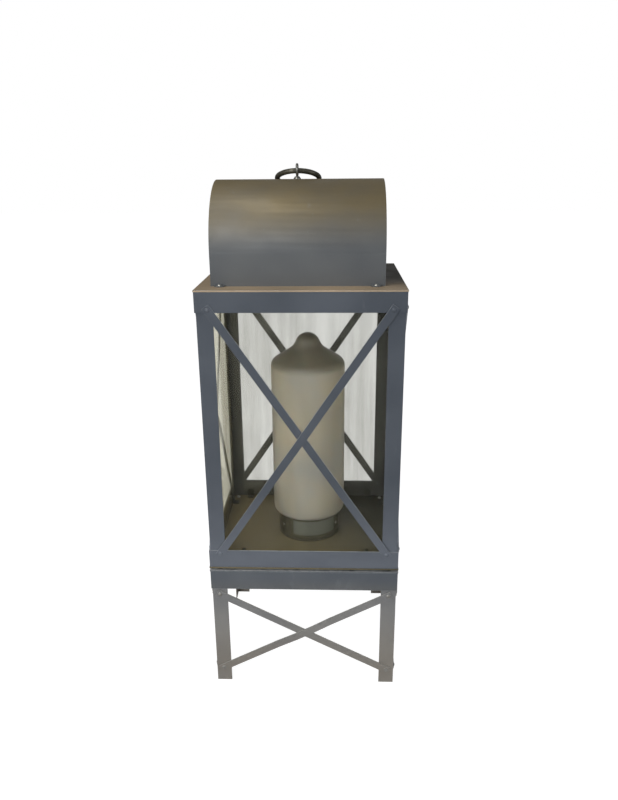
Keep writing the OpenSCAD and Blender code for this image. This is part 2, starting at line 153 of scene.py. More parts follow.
@dataclass(frozen=True)
class Pattern:
    """A noise pattern, and the range that it is mapped onto.

    Attributes:
        scale: Spots per metre, or per spot of a finish's grain before it is sized.
        detail: Octaves.
        stretch: Factor on the coordinates along X, Y and Z.
        roughness: How strongly the finer octaves show.
        low: Noise that gives the least.
        high: Noise that gives the most.
        least: Least result.
        most: Greatest result.
        smooth: Ease in and out.
    """

    scale: float
    detail: float
    stretch: Stretch = EVEN
    roughness: float = 0.5
    low: float = 0.3
    high: float = 0.7
    least: float = 0.0
    most: float = 1.0
    smooth: bool = False

    def between(self, least: float, most: float) -> "Pattern":
        """Returns the pattern mapped onto another range."""
        return replace(self, least=least, most=most)

    def sized(self, grain: float, stretch: Stretch = EVEN) -> "Pattern":
        """Fits the pattern to a finish.

        Args:
            grain: The finish's spots per metre.
            stretch: Factor on the coordinates along X, Y and Z.

        Returns:
            The pattern in spots per metre.
        """
        return replace(self, scale=self.scale * grain, stretch=stretch)


CLOUDS = Pattern(scale=9.0, detail=2.0, smooth=True)
SPECKLE = Pattern(scale=700.0, detail=2.0, low=0.35, high=0.65, most=0.22)
BLOTCHES = Pattern(scale=22.0, detail=4.0, stretch=(0.7, 0.7, 1.3), low=0.25, high=0.6, least=0.6)
SCUFFS = Pattern(scale=60.0, detail=6.0, stretch=(1.0, 1.0, 0.35), roughness=0.7, low=0.62, high=0.78)
RIM_MOTTLE = Pattern(scale=90.0, detail=4.0, high=0.55, least=0.35)
WIPES = Pattern(scale=35.0, detail=3.0)
PAINT_GRAIN = Pattern(scale=1300.0, detail=2.0)
TARNISH = Pattern(scale=1.0, detail=4.0, low=0.35, smooth=True)
DULLING = Pattern(scale=1.0, detail=4.0, high=0.75)
METAL_GRAIN = Pattern(scale=6.0, detail=2.0)
OPAL_CLOUDS = Pattern(scale=14.0, detail=2.0, smooth=True)
DOME_SHADE_MOTTLE = Pattern(scale=240.0, detail=3.0, high=0.6, least=0.85)
OPAL_GRAIN = Pattern(scale=420.0, detail=2.0)
STREAKS = Pattern(scale=55.0, detail=5.0, stretch=(1.0, 1.0, 0.08), roughness=0.6, low=0.35, high=0.75)
PATCHES = Pattern(scale=9.0, detail=3.0, stretch=(1.0, 1.0, 0.6), high=0.75, least=0.35)
MOULD_GRAIN = Pattern(scale=1.0, detail=3.0, low=0.35)
MOULD_CLOUDS = Pattern(scale=1 / 30, detail=2.0)


class Tree:
    """The nodes of one material or world, with short calls for what the finishes share."""

    def __init__(self, owner: bpy.types.Material | bpy.types.World, output: str) -> None:
        """Empties the owner's node tree and adds its output.

        Args:
            owner: Material or world.
            output: Type of the output node.
        """
        owner.use_nodes = True
        self.owner = owner
        self.nodes = owner.node_tree.nodes
        self.links = owner.node_tree.links
        self.nodes.clear()
        self.output = self.nodes.new(output)
        source = self.nodes.new("ShaderNodeTexCoord")
        self.coordinates = source.outputs["Object"]
        self.normal = source.outputs["Normal"]
        self.view = source.outputs["Generated"]

    @classmethod
    def of_material(cls, name: str) -> "Tree":
        """Starts a new material of that name."""
        return cls(bpy.data.materials.new(name), "ShaderNodeOutputMaterial")

    def link(self, source: bpy.types.NodeSocket, target: bpy.types.NodeSocket) -> None:
        """Joins two sockets."""
        self.links.new(source, target)

    def node(self, kind: str, **values: float | Colour) -> bpy.types.Node:
        """Adds a node.

        Args:
            kind: Type of the node.
            **values: Socket values by name, with an underscore for each space.

        Returns:
            The node.
        """
        node = self.nodes.new(kind)
        for key, value in values.items():
            socket = node.inputs[key.replace("_", " ")]
            socket.default_value = (*value, 1.0) if isinstance(value, tuple) else value
        return node

    def noise(self, pattern: Pattern) -> bpy.types.NodeSocket:
        """Adds the bare noise of a pattern.

        Args:
            pattern: Pattern whose range is left out.

        Returns:
            The noise's value socket.
        """
        mapping = self.nodes.new("ShaderNodeMapping")
        mapping.inputs["Scale"].default_value = pattern.stretch
        self.link(self.coordinates, mapping.inputs["Vector"])
        node = self.node(
            "ShaderNodeTexNoise", Scale=pattern.scale, Detail=pattern.detail, Roughness=pattern.roughness
        )
        self.link(mapping.outputs["Vector"], node.inputs["Vector"])
        return node.outputs["Fac"]

    def patch(self, pattern: Pattern) -> bpy.types.NodeSocket:
        """Adds a pattern's noise and maps it onto the pattern's range.

        Args:
            pattern: Pattern to add.

        Returns:
            The result's socket.
        """
        return self.ramp(
            self.noise(pattern), pattern.low, pattern.high, pattern.least, pattern.most, pattern.smooth
        )

    def along(self, direction: Direction, vector: bpy.types.NodeSocket | None = None) -> bpy.types.NodeSocket:
        """Measures a vector along a direction.

        Args:
            direction: Direction to measure along.
            vector: Vector to measure, the place on the object if left out.

        Returns:
            The length's socket.
        """
        node = self.nodes.new("ShaderNodeVectorMath")
        node.operation = "DOT_PRODUCT"
        self.link(vector or self.coordinates, node.inputs[0])
        node.inputs[1].default_value = direction
        return node.outputs["Value"]

    def inward(self) -> bpy.types.NodeSocket:
        """Returns 1 on the upright faces that look into the body from its walls, and 0 elsewhere."""
        product = self.nodes.new("ShaderNodeVectorMath")
        product.operation = "MULTIPLY"
        self.link(self.coordinates, product.inputs[0])
        self.link(self.normal, product.inputs[1])
        return self.ramp(self.along(LEVEL, product.outputs["Vector"]), *INNER_WALL)

    def rim(self, across: Across | None) -> bpy.types.NodeSocket:
        """Returns 1 on the narrow edges of a sheet, and 0 on its faces.

        Args:
            across: Axis across the sheet, or None for the edges that look up.

        Returns:
            The share's socket.
        """
        if across is None:
            return self.ramp(self.along(UP, self.normal), *RIM_LEAN)
        size = self.nodes.new("ShaderNodeMath")
        size.operation = "ABSOLUTE"
        self.link(self.along(across.value, self.normal), size.inputs[0])
        return self.ramp(size.outputs[0], *RIM_LEAN, 1.0, 0.0)

    def ramp(
        self,
        source: bpy.types.NodeSocket,
        low: float,
        high: float,
        least: float = 0.0,
        most: float = 1.0,
        smooth: bool = False,
    ) -> bpy.types.NodeSocket:
        """Maps a value from one range onto another and holds it there.

        Args:
            source: Value to map.
            low: Value that gives the least.
            high: Value that gives the most.
            least: Result at low.
            most: Result at high.
            smooth: Ease in and out.

        Returns:
            The result's socket.
        """
        node = self.node("ShaderNodeMapRange", From_Min=low, From_Max=high, To_Min=least, To_Max=most)
        node.interpolation_type = "SMOOTHSTEP" if smooth else "LINEAR"
        self.link(source, node.inputs["Value"])
        return node.outputs["Result"]

    def joined(
        self, operation: str, first: bpy.types.NodeSocket, second: bpy.types.NodeSocket
    ) -> bpy.types.NodeSocket:
        """Works out one value from two.

        Args:
            operation: Name of the operation, such as MULTIPLY.
            first: First value.
            second: Second value.

        Returns:
            The result's socket.
        """
        node = self.nodes.new("ShaderNodeMath")
        node.operation = operation
        self.link(first, node.inputs[0])
        self.link(second, node.inputs[1])
        return node.outputs[0]

    def mixed(
        self,
        share: bpy.types.NodeSocket,
        first: bpy.types.NodeSocket | Colour,
        second: bpy.types.NodeSocket | Colour,
    ) -> bpy.types.NodeSocket:
        """Mixes two colours.

        Args:
            share: Share of the second colour.
            first: Colour or socket at share 0.
            second: Colour or socket at share 1.

        Returns:
            The mixed colour's socket.
        """
        node = self.nodes.new("ShaderNodeMix")
        node.data_type = "RGBA"
        self.link(share, node.inputs["Factor"])
        for socket, value in ((node.inputs[6], first), (node.inputs[7], second)):
            if isinstance(value, tuple):
                socket.default_value = (*value, 1.0)
            else:
                self.link(value, socket)
        return node.outputs[2]

    def blended(
        self, share: bpy.types.NodeSocket | float, first: bpy.types.Node, second: bpy.types.Node
    ) -> bpy.types.Node:
        """Blends two shaders.

        Args:
            share: Share of the second shader.
            first: Shader at share 0.
            second: Shader at share 1.

        Returns:
            The blending node.
        """
        node = self.nodes.new("ShaderNodeMixShader")
        if isinstance(share, float):
            node.inputs["Fac"].default_value = share
        else:
            self.link(share, node.inputs["Fac"])
        self.link(first.outputs[0], node.inputs[1])
        self.link(second.outputs[0], node.inputs[2])
        return node

    def relief(self, noise: bpy.types.NodeSocket, strength: float, depth: float) -> bpy.types.NodeSocket:
        """Turns a noise into small relief.

        Args:
            noise: Height from 0 to 1.
            strength: Share of the full effect.
            depth: Depth of the relief in millimetres.

        Returns:
            The normal's socket.
        """
        node = self.node("ShaderNodeBump", Strength=strength, Distance=depth * MILLIMETRE)
        self.link(noise, node.inputs["Height"])
        return node.outputs["Normal"]

    def seen_directly(self) -> bpy.types.NodeSocket:
        """Returns 1 for what the camera sees straight or through glass, and 0 for other light."""
        path = self.nodes.new("ShaderNodeLightPath")
        return self.joined("MAXIMUM", path.outputs["Is Camera Ray"], path.outputs["Is Transmission Ray"])

    def close(self, shader: bpy.types.Node) -> None:
        """Gives the output its shader."""
        self.link(shader.outputs[0], self.output.inputs["Surface"])


@dataclass(frozen=True)
class PaintFinish:
    """Satin metallic paint on sheet metal, clouded and lightly scuffed.

    Attributes:
        name: Name of the material.
        shade: Colour of the darker clouds.
        light: Colour of the lighter clouds.
        patina: Colour that weather gives the paint towards patina_high.
        patina_low: Height where the patina starts, in metres.
        patina_high: Height where it is full.
        patina_share: Most that the patina covers.
        metallic: Share of metal in the paint.
        rough: Least roughness.
        scuff: Share of light scuffs.
        inside_shade: Colour of the painted shade on the faces that look into the body.
        painted_shade: Colour of the painted shade on the side away from the light.
        painted_shade_way: Direction towards that side.
        painted_shade_span: Where along it the painted shade starts and is full, in metres.
        painted_shade_share: Most that the painted shade covers.
        rim: Colour of the narrow edges, rubbed paint with a painted highlight.
        across: Axis across the sheet, or None where only edges that look up get that colour.
    """

    name: str
    shade: Colour
    light: Colour
    patina: Colour
    patina_low: float
    patina_high: float
    patina_share: float
    metallic: float = 0.35
    rough: float = 0.42
    scuff: float = 0.25
    inside_shade: Colour | None = None
    painted_shade: Colour | None = None
    painted_shade_way: Direction = (1.0, 0.6, 0.0)
    painted_shade_span: tuple[float, float] = (-0.06, 0.12)
    painted_shade_share: float = 0.85
    rim: Colour | None = None
    across: Across | None = None

    SCUFF_GAIN = 1.7
    SCUFF_LIFT = 0.02
    ROUGH_SPREAD = 0.16

    def colour(self, tree: Tree) -> bpy.types.NodeSocket:
        """Builds the colour from the clouds up to the edges' rubbed paint and painted highlight.

        Args:
            tree: Nodes to build in.

        Returns:
            The colour's socket.
        """
        colour = tree.mixed(tree.patch(CLOUDS), self.shade, self.light)
        colour = tree.mixed(tree.patch(SPECKLE), colour, self.light)
        weather = tree.ramp(
            tree.along(UP), self.patina_low, self.patina_high, 0.0, self.patina_share, smooth=True
        )
        colour = tree.mixed(tree.joined("MULTIPLY", weather, tree.patch(BLOTCHES)), colour, self.patina)
        bare = tuple(min(1.0, self.SCUFF_GAIN * value + self.SCUFF_LIFT) for value in self.light)
        colour = tree.mixed(tree.patch(SCUFFS.between(0.0, self.scuff)), colour, bare)
        # Painted shade darkens the side away from the light.
        if self.painted_shade:
            away = tree.ramp(tree.along(self.painted_shade_way), *self.painted_shade_span, 0.0, self.painted_shade_share, smooth=True)
            colour = tree.mixed(away, colour, self.painted_shade)
        # Faces that look into the body get painted shade.
        if self.inside_shade:
            colour = tree.mixed(tree.inward(), colour, self.inside_shade)
        # Narrow edges get rubbed paint with a painted highlight.
        if self.rim:
            edge_wear_and_highlight = tree.joined("MULTIPLY", tree.rim(self.across), tree.patch(RIM_MOTTLE))
            colour = tree.mixed(edge_wear_and_highlight, colour, self.rim)
        return colour

    def build(self) -> bpy.types.Material:
        """Returns the finished material."""
        tree = Tree.of_material(self.name)
        shader = tree.node("ShaderNodeBsdfPrincipled", Metallic=self.metallic, Specular_IOR_Level=0.4)
        tree.link(self.colour(tree), shader.inputs["Base Color"])
        wipes = WIPES.between(self.rough, self.rough + self.ROUGH_SPREAD)
        tree.link(tree.patch(wipes), shader.inputs["Roughness"])
        tree.link(tree.relief(tree.noise(PAINT_GRAIN), strength=0.25, depth=0.06), shader.inputs["Normal"])
        tree.close(shader)
        return tree.owner


@dataclass(frozen=True)
class MetalFinish:
    """Bare or plated metal, dulled in spots.

    Attributes:
        name: Name of the material.
        bright: Colour where it is clean.
        dull: Colour where it is tarnished.
        rough: Least roughness.
        dullness: Share of tarnish.
        metallic: Share of metal.
        grain: Spots of tarnish per metre.
        brushed: Factor that stretches the grain round the piece, 1 for none.
    """

    name: str
    bright: Colour
    dull: Colour
    rough: float
    dullness: float = 0.6
    metallic: float = 0.85
    grain: float = 220.0
    brushed: float = 1.0

    ROUGH_SPREAD = 0.2

    def build(self) -> bpy.types.Material:
        """Returns the finished material."""
        tree = Tree.of_material(self.name)
        stretch = (1.0, 1.0, self.brushed)
        tarnish = TARNISH.sized(self.grain, stretch).between(0.0, self.dullness)
        dulling = DULLING.sized(self.grain, stretch).between(self.rough, self.rough + self.ROUGH_SPREAD)
        fine = METAL_GRAIN.sized(self.grain, stretch)
        shader = tree.node("ShaderNodeBsdfPrincipled", Metallic=self.metallic)
        tree.link(tree.mixed(tree.patch(tarnish), self.bright, self.dull), shader.inputs["Base Color"])
        tree.link(tree.patch(dulling), shader.inputs["Roughness"])
        tree.link(tree.relief(tree.noise(fine), strength=0.3, depth=0.05), shader.inputs["Normal"])
        tree.close(shader)
        return tree.owner


@dataclass(frozen=True)
class OpalFinish:
    """Moulded opal plastic with a soft sheen and painted shade on its dome.

    Attributes:
        name: Name of the material.
        wall: Colour of the upright wall, darkened as painted shade.
        warm: Colour of the wall's warmer clouds, darkened the same way.
        dome_shade: Colour of the painted shade on the dome, where the roof keeps the light off.
        dome_low: Height where the dome begins, in metres.
        dome_high: Height where the painted shade is full.
        dome_shade_share: Most that the painted shade covers.
    """

    name: str
    wall: Colour
    warm: Colour
    dome_shade: Colour
    dome_low: float
    dome_high: float
    dome_shade_share: float = 0.92

    def build(self) -> bpy.types.Material:
        """Returns the finished material."""
        tree = Tree.of_material(self.name)
        colour = tree.mixed(tree.patch(OPAL_CLOUDS), self.wall, self.warm)
        # The dome gets painted shade, mottled.
        dome = tree.ramp(tree.along(UP), self.dome_low, self.dome_high, 0.0, self.dome_shade_share, smooth=True)
        colour = tree.mixed(tree.joined("MULTIPLY", dome, tree.patch(DOME_SHADE_MOTTLE)), colour, self.dome_shade)
        shader = tree.node(
            "ShaderNodeBsdfPrincipled",
            Roughness=0.42,
            Subsurface_Weight=0.12,
            Subsurface_Scale=0.004,
            Specular_IOR_Level=0.45,
        )
        tree.link(colour, shader.inputs["Base Color"])
        tree.link(tree.relief(tree.noise(OPAL_GRAIN), strength=0.2, depth=0.08), shader.inputs["Normal"])
        tree.close(shader)
        return tree.owner


@dataclass(frozen=True)
class PaneFinish:
    """Window glass with wiped streaks of dirt.

    Attributes:
        name: Name of the material.
        tint: Colour of the glass, whose grey is painted shade on what is seen through it.
        film: Colour of the dirt.
        cover: Most of the glass that the dirt covers.
        base: Least that it covers.
        glow: Share of the light on the dirt that comes through it.
    """

    name: str
    tint: Colour
    film: Colour
    cover: float
    base: float
    glow: float = 0.5

    def build(self) -> bpy.types.Material:
        """Returns the finished material."""
        tree = Tree.of_material(self.name)
        glass = tree.node(
            "ShaderNodeBsdfPrincipled",
            Base_Color=self.tint,
            Roughness=0.02,
            IOR=1.15,
            Transmission_Weight=1.0,
            Specular_IOR_Level=0.5,
        )
        clear = tree.node("ShaderNodeBsdfTransparent", Color=self.tint)
        path = tree.nodes.new("ShaderNodeLightPath")
        lit = tree.blended(path.outputs["Is Shadow Ray"], glass, clear)
        dirt = tree.node("ShaderNodeBsdfDiffuse", Color=self.film)
        through = tree.node("ShaderNodeBsdfTranslucent", Color=self.film)
        haze = tree.blended(self.glow, dirt, through)
        streaks = tree.patch(STREAKS.between(self.base, self.cover))
        tree.close(tree.blended(tree.joined("MULTIPLY", streaks, tree.patch(PATCHES)), lit, haze))
        return tree.owner


@dataclass(frozen=True)
class MouldedFinish:
    """Plastic or rubber with a fine grain.

    Attributes:
        name: Name of the material.
        shade: Main colour.
        light: Colour of the rubbed grain.
        rough: Least roughness.
        grain: Spots of grain per metre.
    """

    name: str
    shade: Colour
    light: Colour
    rough: float
    grain: float = 900.0

    ROUGH_SPREAD = 0.15

    def build(self) -> bpy.types.Material:
        """Returns the finished material."""
        tree = Tree.of_material(self.name)
        grain = MOULD_GRAIN.sized(self.grain)
        clouds = MOULD_CLOUDS.sized(self.grain).between(self.rough, self.rough + self.ROUGH_SPREAD)
        shader = tree.node("ShaderNodeBsdfPrincipled", Specular_IOR_Level=0.4)
        tree.link(tree.mixed(tree.patch(grain), self.shade, self.light), shader.inputs["Base Color"])
        tree.link(tree.patch(clouds), shader.inputs["Roughness"])
        tree.link(tree.relief(tree.noise(grain), strength=0.3, depth=0.08), shader.inputs["Normal"])
        tree.close(shader)
        return tree.owner


Finish = PaintFinish | MetalFinish | OpalFinish | PaneFinish | MouldedFinish

BODY_PAINT = PaintFinish(
    name="body_paint",
    shade=linear(73, 79, 88),
    light=linear(88, 94, 103),
    patina=linear(112, 118, 128),
    patina_low=LANTERN_FOOT + 0.138,
    patina_high=LANTERN_FOOT + 0.008,
    patina_share=0.75,
    # painted shade on the faces that look into the lantern
    inside_shade=linear(22, 25, 18),
)
# The bands' rim colour is rubbed paint with a painted highlight on the edges that look up; the bars' is on
# all narrow edges.
BAND_PAINT = replace(BODY_PAINT, name="band_paint", rim=linear(176, 180, 186))
BAR_PAINT = replace(BODY_PAINT, name="bar_paint", rim=linear(186, 191, 199))
RIVET_PAINT = replace(BODY_PAINT, name="rivet_paint", light=linear(104, 109, 117), scuff=0.6, inside_shade=None)
ROOF_PAINT = PaintFinish(
    name="roof_paint",
    shade=linear(84, 88, 93),
    light=linear(100, 103, 105),
    patina=linear(122, 110, 82),
    patina_low=ROOF_TOP - 0.0815,
    patina_high=ROOF_TOP - 0.0215,
    patina_share=0.9,
)
TOP_PAINT = PaintFinish(
    name="top_paint",
    shade=linear(172, 153, 128),
    light=linear(190, 168, 140),
    patina=linear(110, 100, 80),
    patina_low=PLATE_TOP - 0.052,
    patina_high=PLATE_TOP + 0.048,
    patina_share=0.3,
    # painted shadow of the roof and painted reflection of a dark room, towards the right rear
    painted_shade=linear(34, 34, 25),
    painted_shade_way=(0.6, 1.0, 0.0),
    painted_shade_span=(-0.05, 0.05),
    painted_shade_share=0.92,
)
FLOOR_PAINT = PaintFinish(
    name="floor_paint",
    shade=linear(104, 95, 71),
    light=linear(120, 109, 84),
    patina=linear(90, 86, 66),
    patina_low=LANTERN_FOOT - 0.082,
    patina_high=LANTERN_FOOT - 0.002,
    patina_share=0.3,
    metallic=0.15,
    rough=0.5,
    # painted shade inside the lantern, darker towards the right rear
    painted_shade=linear(42, 44, 34),
)
# The stand's paint is a lighter copy of the body's, painted light where the stand catches more of it.
STAND_PAINT = PaintFinish(
    name="stand_paint",
    shade=linear(124, 125, 127),
    light=linear(142, 142, 141),
    patina=linear(140, 131, 118),
    patina_low=STAND_TOP - 0.039,
    patina_high=STAND_TOP - 0.169,
    patina_share=0.6,
)
# The stand bars' and the ring's rim colours are rubbed paint with a painted highlight.
STAND_BAR_PAINT = replace(STAND_PAINT, name="stand_bar_paint", rim=linear(178, 178, 174))
RING_PAINT = PaintFinish(
    name="stand_ring_paint",
    shade=linear(86, 92, 100),
    light=linear(104, 109, 115),
    patina=linear(120, 118, 112),
    patina_low=STAND_TOP - 0.009,
    patina_high=STAND_TOP - 0.029,
    patina_share=0.35,
    rim=linear(176, 180, 184),
)
# The light metal of the rounded edges, here and on the stand below, is rubbed paint with a painted highlight.
RUBBED_AND_HIGHLIT_EDGE = MetalFinish(
    "rubbed_edge", linear(186, 188, 190), linear(128, 130, 132), rough=0.32, dullness=0.7, metallic=0.7
)
STAND_EDGE = MetalFinish(
    "stand_edge", linear(176, 174, 168), linear(132, 130, 124), rough=0.36, dullness=0.7, metallic=0.6
)
STAND_RIVET = MetalFinish(
    "stand_rivet", linear(140, 139, 135), linear(116, 114, 108), rough=0.4, dullness=0.7, metallic=0.4
)
PLATED_STEEL = MetalFinish(
    "plated_steel", linear(190, 190, 188), linear(128, 126, 120), rough=0.26, metallic=0.9
)
CLIP_STEEL = MetalFinish(
    "clip_steel", linear(78, 78, 68), linear(44, 46, 38), rough=0.4, dullness=0.7, metallic=0.6
)
EYE_STEEL = MetalFinish("eye_steel", linear(150, 150, 146), linear(78, 76, 70), rough=0.3, dullness=0.7)
RING_IRON = MetalFinish(
    "ring_iron", linear(92, 90, 80), linear(48, 48, 40), rough=0.34, dullness=0.8, metallic=0.6, grain=120.0
)
CUP_METAL = MetalFinish(
    "cup_metal",
    linear(92, 88, 72),
    linear(58, 57, 46),
    rough=0.36,
    dullness=0.7,
    metallic=0.55,
    grain=90.0,
    brushed=8.0,
)
BRASS = MetalFinish("brass", linear(196, 168, 104), linear(140, 112, 62), rough=0.3, metallic=0.9)
LABEL_FILM = MouldedFinish("label_film", linear(88, 89, 80), linear(98, 99, 90), rough=0.38, grain=500.0)
BLACK_RUBBER = MouldedFinish("black_rubber", linear(28, 28, 27), linear(44, 44, 42), rough=0.7)
BLACK_PLASTIC = MouldedFinish("black_plastic", linear(24, 24, 25), linear(38, 38, 39), rough=0.4)
FROSTED_BULB = MouldedFinish(
    "frosted_bulb", linear(226, 224, 218), linear(236, 234, 228), rough=0.35, grain=300.0
)
# The wall colours are darker than the opal's own white, painted shade of the lantern's dim inside.
OPAL = OpalFinish(
    name="opal_plastic",
    wall=linear(124, 122, 117),
    warm=linear(142, 134, 117),
    # painted shade on the dome
    dome_shade=linear(86, 81, 67),
    dome_low=SHADE_TOP - 0.0487,
    dome_high=SHADE_TOP - 0.0387,
)
CLEAR_PANE = PaneFinish(
    "clear_pane", tint=(0.96, 0.97, 0.955), film=(0.3, 0.3, 0.26), cover=0.03, base=0.0
)
# The rear and side panes' grey tints are painted shade on the lantern's inside and the room behind; their
# streaked films are dirt.
REAR_PANE = PaneFinish(
    "rear_pane", tint=(0.77, 0.765, 0.745), film=(0.46, 0.46, 0.42), cover=0.55, base=0.2
)
SIDE_PANE = PaneFinish(
    "side_pane", tint=(0.79, 0.765, 0.64), film=(0.32, 0.29, 0.19), cover=0.5, base=0.12
)


class Paintshop:
    """Builds each finish once and gives the construction's nodes their coats."""

    def __init__(self) -> None:
        """Starts with no material built."""
        self.built: dict[str, bpy.types.Material] = {}

    def material(self, finish: Finish) -> bpy.types.Material:
        """Returns the finish's material, built on its first use."""
        if finish.name not in self.built:
            self.built[finish.name] = finish.build()
        return self.built[finish.name]

    def coat(self, node: str, finish: Finish) -> bpy.types.Object:
        """Gives one construction node its finish.

        Args:
            node: Name of the node.
            finish: Finish of its whole surface.

        Returns:
            The node's object.
        """
        piece = frame["nodes"][node]
        piece.data.materials.clear()
        piece.data.materials.append(self.material(finish))
        return piece

    def coat_all(self, finishes: dict[str, Finish]) -> list[str]:
        """Gives several nodes their finishes.

        Args:
            finishes: Finish of each node by its name.

        Returns:
            Names of the nodes.
        """
        for node, finish in finishes.items():
            self.coat(node, finish)
        return list(finishes)

    def coat_sheet(self, node: str, finish: Finish, edge: Finish, width: float = EDGE_ROUND) -> str:
        """Gives a sheet metal node its finish and rounds its edges, which get rubbed paint with a painted
        highlight.

        Args:
            node: Name of the node.
            finish: Finish of the faces.
            edge: Finish of the rounded edges.
            width: Width of the rounding in millimetres.

        Returns:
            The node's name.
        """
        piece = self.coat(node, finish)
        piece.data.materials.append(self.material(edge))
        self.weld(piece)
        flat = piece.modifiers.new("flat", "DECIMATE")
        flat.decimate_type = "DISSOLVE"
        flat.angle_limit = math.radians(FLAT_ANGLE)
        rounding = piece.modifiers.new("rounding", "BEVEL")
        rounding.width = width * MILLIMETRE
        rounding.segments = EDGE_STEPS
        rounding.limit_method = "ANGLE"
        rounding.angle_limit = math.radians(EDGE_ANGLE)
        rounding.material = EDGE_SLOT
        rounding.harden_normals = True
        return node

    def weld(self, piece: bpy.types.Object) -> None:
        """Joins the loose corners of a construction mesh."""
        weld = piece.modifiers.new("weld", "WELD")
        weld.merge_threshold = WELD_REACH * MILLIMETRE

    def draw_in(self, piece: bpy.types.Object) -> None:
        """Draws a pane's faces in by a hair, so that none lies in the plane of the sheet behind it."""
        self.weld(piece)
        slip = piece.modifiers.new("slip", "DISPLACE")
        slip.mid_level = 0.0
        slip.strength = -PANE_SLIP * MILLIMETRE


SHOP = Paintshop()


def bar_paint(paint: PaintFinish, node: str) -> PaintFinish:
    """Turns a bar's paint so that its narrow edges, not its faces, get the rubbed paint and painted
    highlight.

    Args:
        paint: Paint of the bars.
        node: Name of the bar's node, which names its side.

    Returns:
        The paint for that side.
    """
    across = Across.of(node)
    return replace(paint, name=f"{paint.name}_{across.name.lower()}", across=across)


@dataclass
class Stand:
    """The braced stand: ring, four legs and the crossed bars.

    Attributes:
        paint: Paint of the legs.
        bars: Paint of the bars.
        ring: Paint of the ring.
        edge: Finish of the rounded edges of legs and bars, rubbed paint with a painted highlight.
        ring_edge: Finish of the ring's rounded edges, rubbed paint with a painted highlight.
        ring_round: Width of the ring's rounded edges in millimetres.
        rivets: Finish of the rivets.
    """

    paint: PaintFinish = STAND_PAINT
    bars: PaintFinish = STAND_BAR_PAINT
    ring: PaintFinish = RING_PAINT
    edge: MetalFinish = STAND_EDGE
    ring_edge: MetalFinish = RUBBED_AND_HIGHLIT_EDGE
    ring_round: float = 0.5
    rivets: MetalFinish = STAND_RIVET

    def dress(self) -> list[str]:
        """Gives the stand its finishes.

        Returns:
            Names of the nodes it dressed.
        """
        legs = [SHOP.coat_sheet(node, self.paint, self.edge) for node in nodes_like("leg_*")]
        bars = [
            SHOP.coat_sheet(node, bar_paint(self.bars, node), self.edge)
            for node in nodes_like("stand_brace_*")
        ]
        ring = SHOP.coat_sheet("stand_ring", self.ring, self.ring_edge, self.ring_round)
        return [*legs, *bars, ring, *SHOP.coat_all({"stand_rivets": self.rivets})]


@dataclass
class LanternBody:
    """Floor, bands, posts, bars, panes and top plate of the lantern.

    Attributes:
        posts: Paint of the posts.
        bands: Paint of the bands.
        bars: Paint of the bars.
        top: Paint of the top plate.
        floor: Paint of the floor and the lamp plate.
        edge: Finish of the rounded edges, rubbed paint with a painted highlight.
    """

    posts: PaintFinish = BODY_PAINT
    bands: PaintFinish = BAND_PAINT
    bars: PaintFinish = BAR_PAINT
    top: PaintFinish = TOP_PAINT
    floor: PaintFinish = FLOOR_PAINT
    edge: MetalFinish = RUBBED_AND_HIGHLIT_EDGE

    def dress_frame(self) -> list[str]:
        """Paints the sheet metal.

        Returns:
            Names of the nodes it dressed.
        """
        paints = {node: self.posts for node in nodes_like("post_*")}
        paints |= {node: self.bands for node in nodes_like("*_band")}
        paints |= {node: bar_paint(self.bars, node) for node in nodes_like("brace_*")}
        paints |= {"top_plate": self.top, "floor_plate": self.floor}
        done = [SHOP.coat_sheet(node, paint, self.edge) for node, paint in paints.items()]
        return [*done, SHOP.coat_sheet("lamp_plate", self.floor, self.floor)]

    def dress_small(self) -> list[str]:
        """Gives the rivets, screws, clips and glides their finishes.

        Returns:
            Names of the nodes it dressed.
        """
        return SHOP.coat_all(
            {
                "body_rivets": RIVET_PAINT,
                "lamp_plate_screws": CLIP_STEEL,
                "glide_screws": PLATED_STEEL,
                "lower_pane_clips": CLIP_STEEL,
                "upper_pane_clips": CLIP_STEEL,
                "glides": BLACK_RUBBER,
            }
        )

    def glaze(self) -> list[str]:
        """Gives the four panes their glass.

        Returns:
            Names of the nodes it dressed.
        """
        panes = {
            "pane_front": CLEAR_PANE,
            "pane_right": SIDE_PANE,
            "pane_rear": REAR_PANE,
            "pane_left": SIDE_PANE,
        }
        for node, finish in panes.items():
            SHOP.draw_in(SHOP.coat(node, finish))
        return list(panes)


@dataclass
class Roof:
    """The barrel roof with its end plates and fixings.

    Attributes:
        paint: Paint of the sheets.
        edge: Finish of the barrel's rounded edges, rubbed paint with a painted highlight.
        fixings: Finish of the screws at its foot.
    """

    paint: PaintFinish = ROOF_PAINT
    edge: MetalFinish = RUBBED_AND_HIGHLIT_EDGE
    fixings: MetalFinish = PLATED_STEEL

    def dress(self) -> list[str]:
        """Gives the roof its finishes.

        Returns:
            Names of the nodes it dressed.
        """
        shell = SHOP.coat_sheet("roof_shell", self.paint, self.edge)
        ends = [SHOP.coat_sheet(node, self.paint, self.paint) for node in nodes_like("roof_end_*")]
        return [shell, *ends, *SHOP.coat_all({"roof_screws": self.fixings})]


@dataclass
class Handle:
    """The eye bolt on the roof and the ring that swings in it.

    Attributes:
        eye: Finish of the eye bolt and its small parts.
        ring: Finish of the ring.
    """

    eye: MetalFinish = EYE_STEEL
    ring: MetalFinish = RING_IRON

    def dress(self) -> list[str]:
        """Gives the handle its finishes.

        Returns:
            Names of the nodes it dressed.
        """
        finishes = {node: self.eye for node in nodes_like("eye_*")}
        return SHOP.coat_all(finishes | {"handle_ring": self.ring})


